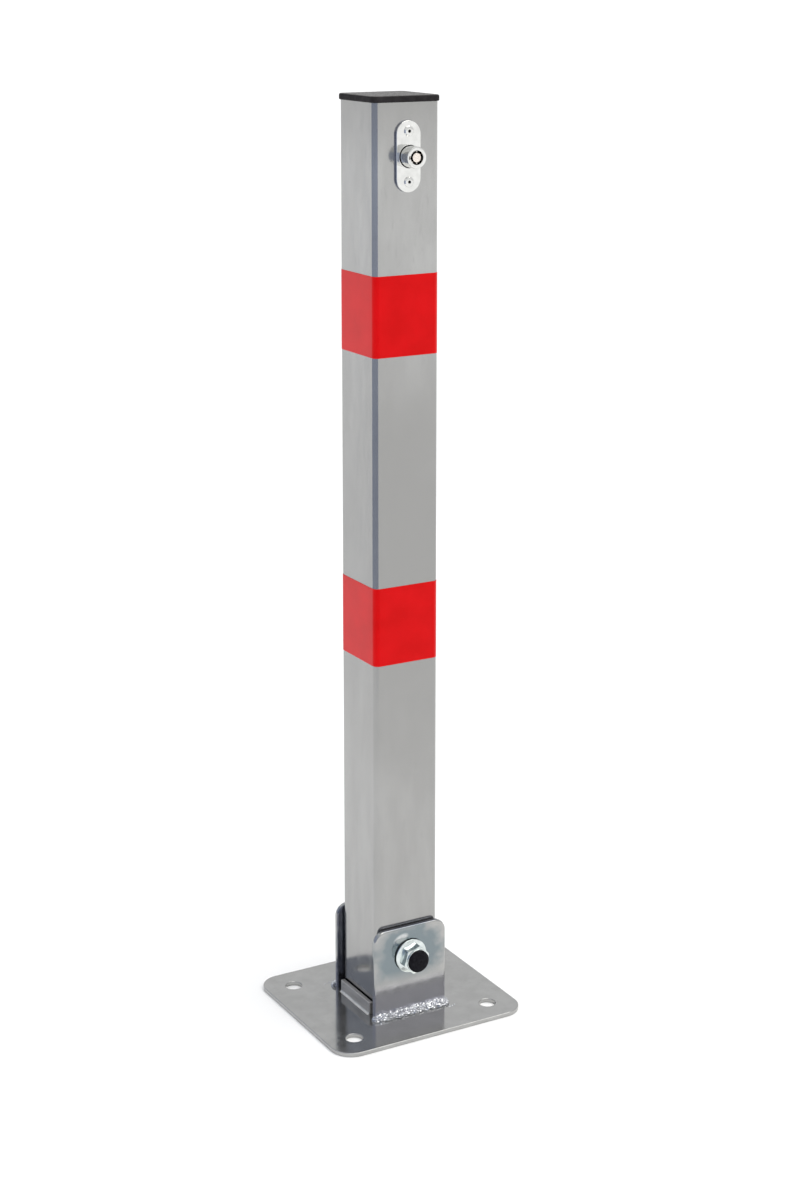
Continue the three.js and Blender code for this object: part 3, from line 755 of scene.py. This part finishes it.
def pivot_bolt():
    low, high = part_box("pivot_bolt")
    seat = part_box("pivot_washer")[1].y
    shape = Shape()
    hexagon(shape, ACROSS_FLATS, high.y, seat, 0, 0, PIVOT.z, math.radians(45))
    shank = [(0, low.y), (6 * MM, low.y), (6 * MM, seat + 0.5 * MM), (0, seat + 0.5 * MM)]
    turned_y(shape, softened(shank, 0.4 * MM), 0, PIVOT.z)
    add("pivot_bolt_zinc", shape, zinc, "base", ["pivot_bolt"])


def pivot_washer():
    low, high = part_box("pivot_washer")
    radius = high.z - PIVOT.z
    hole = 6.5 * MM
    ring = [(hole, low.y), (radius, low.y), (radius, high.y), (hole, high.y)]
    shape = Shape()
    turned_y(shape, softened(ring + [ring[0]], 0.3 * MM), 0, PIVOT.z)
    add("pivot_washer_zinc", shape, zinc, "base", ["pivot_washer"])


# ---------------------------------------------------------------- post


def film_band(name, node):
    """A strip of film round the post. Its two ends overlap at the back."""
    low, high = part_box(node)
    outside = high.x
    inside = tube_high.x + 0.02 * MM
    edge = 0.06 * MM
    shape = Shape()
    profile = [(inside, low.z), (outside - edge, low.z), (outside, low.z + edge), (outside, high.z - edge),
               (outside - edge, high.z), (inside, high.z)]
    square_rings(shape, profile, TUBE_CORNER, closed=True)
    flap_half, lift = 6 * MM, 0.18 * MM
    slab(
        shape,
        lambda inset: strip_outline(-flap_half + inset, flap_half - inset, low.z + inset, high.z - inset),
        [], outside - 0.02 * MM, outside + lift, 0.06 * MM, upright)
    add(name, shape, red_film, "post", [node])


def strip_outline(left, right, bottom, top):
    """A plain rectangle, anticlockwise."""
    return [(left, bottom), (right, bottom), (right, top), (left, top)]


def top_cap():
    """A moulded cap: a rimmed lid whose edges are rounded, a shadow step under it, and the skirt inside the
    post."""
    low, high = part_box("top_cap")
    half = high.x
    top = high.z
    seat = tube_high.z
    lid = [(half - 1.5 * MM, top), (half - 0.75 * MM, top - 0.12 * MM), (half - 0.2 * MM, top - 0.5 * MM),
           (half, top - 1.2 * MM), (half, seat + 0.7 * MM), (half - 0.25 * MM, seat + 0.25 * MM),
           (half - 0.9 * MM, seat + 0.05 * MM)]
    skirt_outer = tube_high.x - 2.2 * MM
    skirt_inner = skirt_outer - 2 * MM
    skirt = [(skirt_outer, seat), (skirt_outer, low.z + 0.6 * MM), (skirt_outer - 0.5 * MM, low.z),
             (skirt_inner, low.z), (skirt_inner, seat - 0.3 * MM)]
    shape = Shape()
    square_rings(shape, [(half - 8 * MM, top + 0.02 * MM)] + lid + skirt, TUBE_CORNER, closed=False)
    add("top_cap_moulded", shape, black_plastic, "post", ["top_cap"])


# ---------------------------------------------------------------- lock


def stadium(half_width, half_height, steps=24):
    """An upright outline with round ends, centred on the lock."""
    straight = half_height - half_width
    outline = []
    for centre, start in ((straight, 0), (-straight, math.pi)):
        for step in range(steps + 1):
            angle = start + step / steps * math.pi
            outline.append((half_width * math.cos(angle), LOCK.z + centre + half_width * math.sin(angle)))
    return outline


def lock_housing():
    """The oval face plate, the collar round the plunger, and the barrel inside the post."""
    half_width = housing_high.x
    half_height = (housing_high.z - housing_low.z) / 2
    bore = 7.4 * MM
    barrel = 8.8 * MM
    shape = Shape()
    slab(
        shape, lambda inset: stadium(half_width - inset, half_height - inset),
        [lambda outset: circle(0, LOCK.z, bore + outset)], LOCK_FACE, tube_low.y, 0.45 * MM, upright)
    collar = [(7.77 * MM, housing_low.y), (8.2 * MM, housing_low.y), (8.2 * MM, LOCK_FACE + 0.5 * MM),
              (7.77 * MM, LOCK_FACE + 0.5 * MM)]
    turned_y(shape, softened(collar + [collar[0]], 0.3 * MM), 0, LOCK.z)
    back = housing_high.y
    stem_hole = 3.8 * MM
    tube = [(bore, LOCK_FACE + 0.6 * MM), (barrel, LOCK_FACE + 0.6 * MM), (barrel, back), (stem_hole, back),
            (stem_hole, back - LOCK_END_WALL), (bore, back - LOCK_END_WALL)]
    turned_y(shape, softened(tube + [tube[0]], 0.3 * MM), 0, LOCK.z)
    add("lock_housing_chrome", shape, plate_chrome, "post", ["lock_housing"])


def lock_rivet(name, node):
    """A blind rivet: domed head, sunk mandrel, and the bulb behind the wall."""
    low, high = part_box(node)
    z = (low.z + high.z) / 2
    radius = high.z - z
    mandrel, shank, bulb = 1.05 * MM, 2 * MM, 3 * MM
    inside_wall = tube_low.y + 2.1 * MM
    profile = [(0, low.y + 1.9 * MM), (mandrel, low.y + 1.9 * MM), (mandrel, low.y + 0.04 * MM),
               (radius * 0.45, low.y), (radius * 0.8, low.y + 0.22 * MM), (radius, low.y + 0.7 * MM),
               (radius, LOCK_FACE), (shank, LOCK_FACE), (shank, inside_wall), (bulb, inside_wall),
               (bulb, high.y), (0, high.y)]
    shape = Shape()
    turned_y(shape, softened(profile, 0.25 * MM), 0, z, even_angles(48))
    add(name, shape, lock_chrome, "post", [node])
    stub = [(0, low.y + 0.35 * MM), (0.5 * MM, low.y + 0.4 * MM), (mandrel - 0.03 * MM, low.y + 0.7 * MM),
            (mandrel - 0.03 * MM, low.y + 1.8 * MM), (0, low.y + 1.8 * MM)]
    stub_shape = Shape()
    turned_y(stub_shape, softened(stub, 0.1 * MM), 0, z, even_angles(24))
    # The mandrel is near-black, as painted shade in the rivet's hollow.
    add(name + "_mandrel", stub_shape, mandrel_painted_shade, "post")


def lock_plunger():
    """The push cylinder, with the round keyway and its notch in front and the stem's slanted nose behind."""
    front = plunger_low.y
    radius = plunger_high.x
    bore, notch_reach, notch_depth, notch_half = 4.8 * MM, 6.1 * MM, 3 * MM, math.radians(10.6)
    bore_end, back, stem, nose = front + 14 * MM, front + 18 * MM, 3.5 * MM, 2 * MM

    def profile(angle):
        in_notch = abs(angle - math.pi) < notch_half
        lip = front + (notch_depth if in_notch else 0)
        nose_end = nose + stem * math.sin(angle)
        return [(0, bore_end), (bore, bore_end), (bore, lip), (notch_reach, lip), (notch_reach, front),
                (radius - 0.55 * MM, front), (radius - 0.15 * MM, front + 0.15 * MM),
                (radius, front + 0.55 * MM), (radius, back), (stem, back), (stem, nose_end), (0, nose)]

    edges = [math.pi + side * notch_half * nudge for side in (-1, 1) for nudge in (0.995, 1.005)]
    shape = Shape()
    turned_y(shape, profile, 0, LOCK.z, sorted(even_angles(96) + edges))
    add("lock_plunger_chrome", shape, plunger_chrome, "plunger", ["lock_plunger"])


def lock_core():
    """The post in the middle of the round keyway, and the seven pins that the key pushes."""
    low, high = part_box("lock_core")
    core = [(0, low.y + 0.12 * MM), (0.5 * MM, low.y + 0.12 * MM), (0.8 * MM, low.y), (3.1 * MM, low.y),
            (3.1 * MM, low.y + 6.8 * MM), (4.7 * MM, low.y + 6.8 * MM), (4.7 * MM, high.y), (0, high.y)]
    shape = Shape()
    turned_y(shape, softened(core, 0.3 * MM), 0, LOCK.z, even_angles(48))
    add("lock_core_face", shape, core_metal, "core", ["lock_core"])
    pins = Shape()
    count, pin_radius, circle_radius = 7, 0.55 * MM, 3.95 * MM
    front, back = low.y + 1.8 * MM, low.y + 6.9 * MM
    profile = [(0, front), (pin_radius, front), (pin_radius, back), (0, back)]
    for pin in range(count):
        angle = TURN * (pin + 0.5) / count
        turned_y(pins, softened(profile, 0.15 * MM), circle_radius * math.cos(angle),
                 LOCK.z + circle_radius * math.sin(angle), even_angles(16))
    add("lock_key_pins", pins, key_metal, "core")


# ---------------------------------------------------------------- springs


def coil(name, node, axis, centre_line, wire, turns, material):
    """A coil spring of round wire with closed ends, along Y or Z."""
    low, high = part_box(node)
    start, end = low[axis] + wire, high[axis] - wire
    radius = (high.x - low.x) / 2 - wire
    steps, around = turns * 36, 12
    rows = []
    for step in range(steps + 1):
        share = step / steps
        angle = TURN * turns * share
        along = start + (end - start) * share
        rows.append([
            helix_point(axis, centre_line, radius + wire * math.cos(a), angle, along + wire * math.sin(a))
            for a in even_angles(around)])
    shape = Shape()
    shape.rings(rows, capped=True)
    return add(name, shape, material, "post", [node])


def helix_point(axis, centre_line, radius, angle, along):
    u, v = radius * math.cos(angle), radius * math.sin(angle)
    x, other = centre_line
    return (x + u, along, other - v) if axis == 1 else (x + u, other + v, along)


# ---------------------------------------------------------------- all the pieces

base_plate()
hinge_ear("hinge_ear_front_painted", "hinge_ear_front")
hinge_ear("hinge_ear_rear_painted", "hinge_ear_rear")
stop_bar("stop_bar_left_painted", "stop_bar_left", -1)
stop_bar("stop_bar_right_painted", "stop_bar_right", 1)
weld_bead("weld_bead_front_rippled", "weld_bead_front", -1, 3)
weld_bead("weld_bead_rear_rippled", "weld_bead_rear", 1, 8)
pivot_nut()
nut_plug()
pivot_bolt()
pivot_washer()
film_band("band_upper_film", "band_upper")
film_band("band_lower_film", "band_lower")
top_cap()
lock_housing()
lock_rivet("lock_rivet_upper_domed", "lock_rivet_upper")
lock_rivet("lock_rivet_lower_domed", "lock_rivet_lower")
lock_plunger()
lock_core()

lock_coil = coil("lock_spring_coil", "lock_spring", 1, (0, LOCK.z), 0.5 * MM, 5, spring_steel)
rod_coil = coil(
    "rod_return_spring_coil", "rod_return_spring", 2, (15 * MM, 0), 0.6 * MM, 6, spring_steel)
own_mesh(lock_coil)
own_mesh(rod_coil)

keep_cad("post_tube", silver_paint, 0.3 * MM)
for node_name in ("spacer_washer_front", "spacer_washer_rear"):
    keep_cad(node_name, nylon)
for node_name in (
        "pivot_sleeve", "rod_guide_upper", "rod_guide_lower", "lock_cam", "latch_rod", "latch_wedge",
        "latch_shoe"):
    keep_cad(node_name, inner_steel)
for node_name in ("latch_pin_upper", "latch_pin_lower"):
    keep_cad(node_name, spring_steel)

# ---------------------------------------------------------------- studio

CAMERA_PLACE = Vector((-0.7347, -1.3107, 0.7398))
CAMERA_AIM = Vector((0.0065, -0.0037, 0.450))
CAMERA_LENS = 66.64
CAMERA_SHIFT = -0.175


def camera():
    data = bpy.data.cameras.new("camera")
    data.sensor_width = 36
    data.lens = CAMERA_LENS
    data.shift_y = CAMERA_SHIFT
    data.clip_end = 200
    eye = bpy.data.objects.new("camera", data)
    eye.location = CAMERA_PLACE
    eye.rotation_euler = (CAMERA_AIM - CAMERA_PLACE).to_track_quat("-Z", "Y").to_euler()
    scene.collection.objects.link(eye)
    scene.camera = eye


def floor():
    shape = Shape()
    half, thickness = 60, 0.02
    shape.rings([[(x * half, y * half, z) for x, y in ((-1, -1), (1, -1), (1, 1), (-1, 1))]
                 for z in (0, -thickness)], capped=True)
    ground = shape.object("floor")
    ground.data.materials.append(finish(
        "pale_floor", ((0.90, 0.90, 0.90), (0.92, 0.92, 0.92)), 0.5, (0.6, 0.7), 0, 0.01, 0.00002,
        specular=0.2))


SKY_WHITE = (1.0, 1.0, 1.0)
SKY_LIGHT = (0.84, 0.85, 0.86)
SKY_DIM = (0.42, 0.475, 0.62)
DIM_SIDE = Vector((math.cos(math.radians(140)), math.sin(math.radians(140)), 0))


def sky():
    """A soft surround: white along the horizon, light above it, and dim blue-grey behind on the left."""
    world = bpy.data.worlds.new("studio")
    scene.world = world
    world.use_nodes = True
    tree = world.node_tree
    direction = tree.nodes.new("ShaderNodeTexCoord").outputs["Generated"]
    side = tree.nodes.new("ShaderNodeVectorMath")
    side.operation = "DOT_PRODUCT"
    side.inputs[1].default_value = DIM_SIDE
    tree.links.new(direction, side.inputs[0])
    parts = split(tree, direction)
    upper = blend_colours(tree, spread(tree, side.outputs["Value"], 0, 1, (0.66, 0.80)), SKY_LIGHT, SKY_DIM)
    colour = blend_colours(tree, spread(tree, parts.outputs["Z"], 0, 1, (0.04, 0.14)), SKY_WHITE, upper)
    tree.links.new(colour, tree.nodes["Background"].inputs["Color"])


def dim_card():
    """A curved blue-grey card on the camera's side, which only reflections see."""
    radius, height, steps = 0.95, 0.86, 40
    start, end = math.radians(124), math.radians(257)
    rows = []
    for z in (0.001, height):
        rows.append([(radius * math.cos(start + (end - start) * s / steps),
                      radius * math.sin(start + (end - start) * s / steps), z) for s in range(steps + 1)])
    mesh = bpy.data.meshes.new("dim_card")
    count = steps + 1
    mesh.from_pydata(rows[0] + rows[1], [], [(s, s + 1, s + 1 + count, s + count) for s in range(steps)])
    card = bpy.data.objects.new("dim_card", mesh)
    material = bpy.data.materials.new("dim_card")
    material.use_nodes = True
    shader = material.node_tree.nodes["Principled BSDF"]
    shader.inputs["Base Color"].default_value = (0, 0, 0, 1)
    shader.inputs["Specular IOR Level"].default_value = 0
    shader.inputs["Emission Color"].default_value = (*SKY_DIM, 1)
    shader.inputs["Emission Strength"].default_value = 1
    mesh.materials.append(material)
    scene.collection.objects.link(card)
    for ray in ("visible_camera", "visible_diffuse", "visible_transmission", "visible_shadow"):
        setattr(card, ray, False)


def overhead_light():
    data = bpy.data.lights.new("overhead", "SUN")
    data.energy = 1.6
    data.color = (1.0, 0.98, 0.95)
    data.angle = math.radians(50)
    lamp = bpy.data.objects.new("overhead", data)
    lamp.rotation_euler = (math.radians(12), math.radians(14), 0)
    scene.collection.objects.link(lamp)


camera()
floor()
sky()
dim_card()
overhead_light()
scene.view_settings.view_transform = "Standard"
